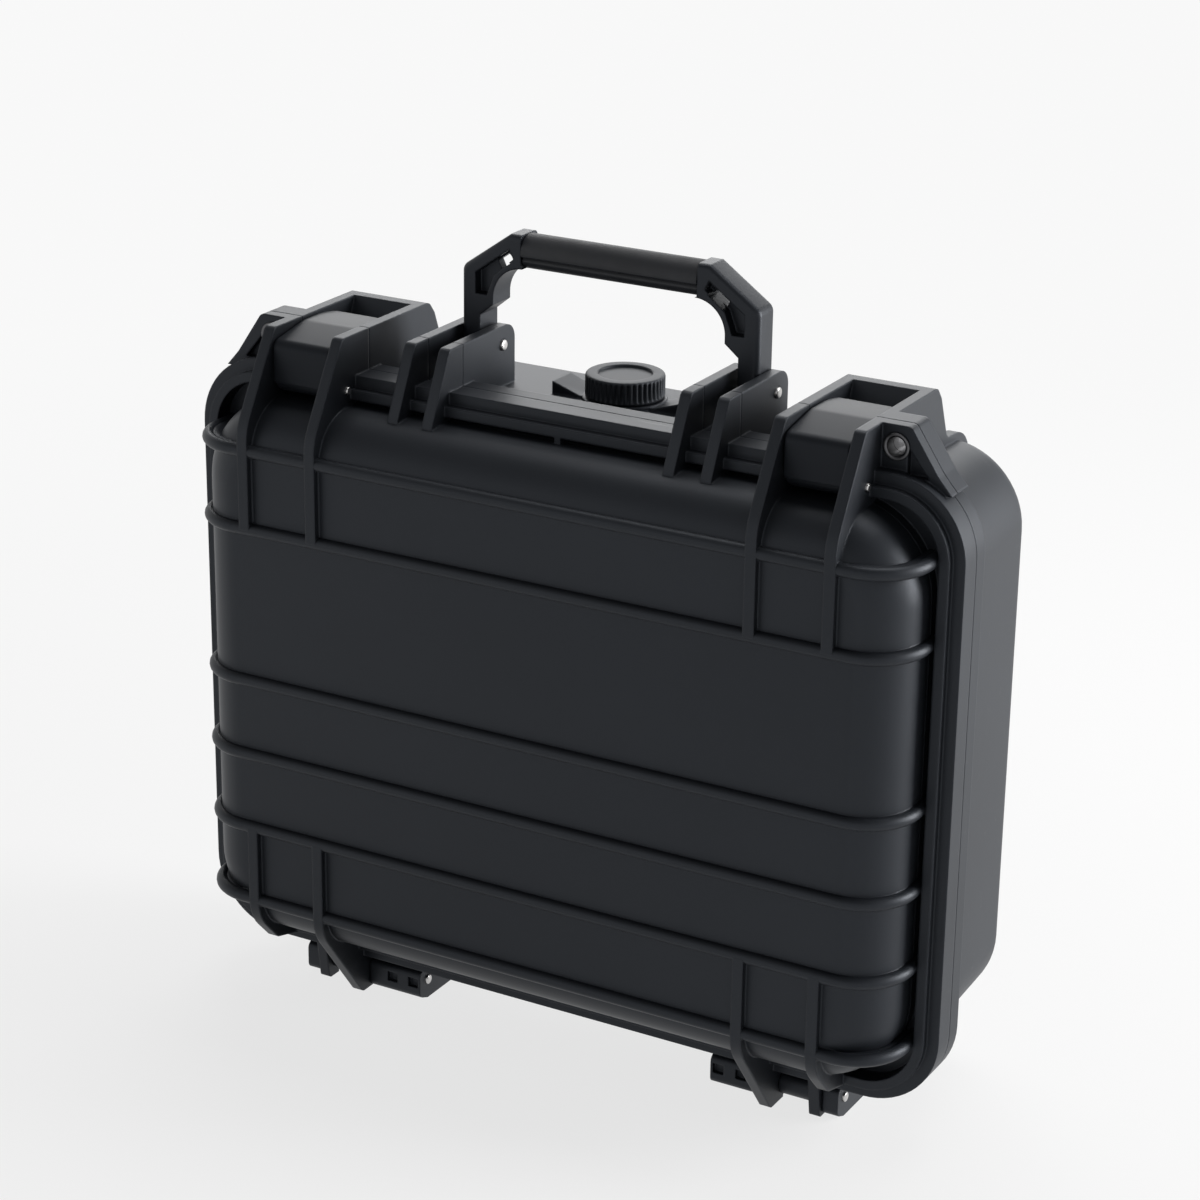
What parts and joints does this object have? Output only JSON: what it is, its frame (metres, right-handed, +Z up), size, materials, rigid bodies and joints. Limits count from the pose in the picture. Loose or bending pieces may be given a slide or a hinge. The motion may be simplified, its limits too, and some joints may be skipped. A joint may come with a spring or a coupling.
{
  "type": "waterproof hard case",
  "caption": "Ribbed waterproof hard case with a hinged lid, clamp latches, folding handle, purge valve and padlock tabs, standing upright.",
  "frame": {"origin": "on the floor under the middle of the case, at the bottom centre of its bounding box", "axes": "+X to the right seen from the front, +Y from the lid to the base, +Z up, with the case standing on its hinge side"},
  "size_m": [0.329, 0.116, 0.322],
  "materials": {
    "shell_plastic": "fine matt moulded plastic",
    "latch_plastic": "satin moulded plastic",
    "grip_rubber": "matt overmoulded rubber",
    "steel": "stainless steel",
    "seal_rubber": "soft black rubber",
    "valve_plastic": "moulded plastic",
    "membrane": "white breathable film"
  },
  "bodies": {
    "base": {"base_shell": "shell_plastic", "base_eyelet_left": "steel", "base_eyelet_right": "steel", "handle_pin_left": "steel", "handle_pin_right": "steel", "hinge_pin_left": "steel", "hinge_pin_right": "steel", "purge_valve_body": "valve_plastic", "purge_valve_oring": "seal_rubber", "purge_valve_nut": "valve_plastic", "purge_valve_membrane": "membrane"},
    "lid": {"lid_shell": "shell_plastic", "lid_gasket": "seal_rubber", "lid_eyelet_left": "steel", "lid_eyelet_right": "steel", "latch_pin_left": "steel", "latch_pin_right": "steel"},
    "latch_left": {"latch_left": "latch_plastic"},
    "latch_right": {"latch_right": "latch_plastic"},
    "handle": {"handle_frame": "shell_plastic", "handle_grip": "grip_rubber"},
    "purge_knob": {"purge_valve_knob": "valve_plastic"}
  },
  "joints": [
    {"name": "lid_hinge", "type": "hinge", "parent": "base", "child": "lid", "pos_m": [0, -0.0185, 0.0085], "axis": [1, 0, 0], "range_deg": [0, 105]},
    {"name": "latch_left_hinge", "type": "hinge", "parent": "lid", "child": "latch_left", "pos_m": [-0.11, -0.034, 0.262], "axis": [1, 0, 0], "range_deg": [0, 90]},
    {"name": "latch_right_hinge", "type": "hinge", "parent": "lid", "child": "latch_right", "pos_m": [0.11, -0.034, 0.262], "axis": [1, 0, 0], "range_deg": [0, 90]},
    {"name": "handle_hinge", "type": "hinge", "parent": "base", "child": "handle", "pos_m": [0, 0.011, 0.2757], "axis": [-1, 0, 0], "range_deg": [-35, 90]},
    {"name": "purge_knob_turn", "type": "hinge", "parent": "base", "child": "purge_knob", "pos_m": [0, 0.02, 0.2608], "axis": [0, 0, 1], "range_deg": [0, 180]}
  ]
}
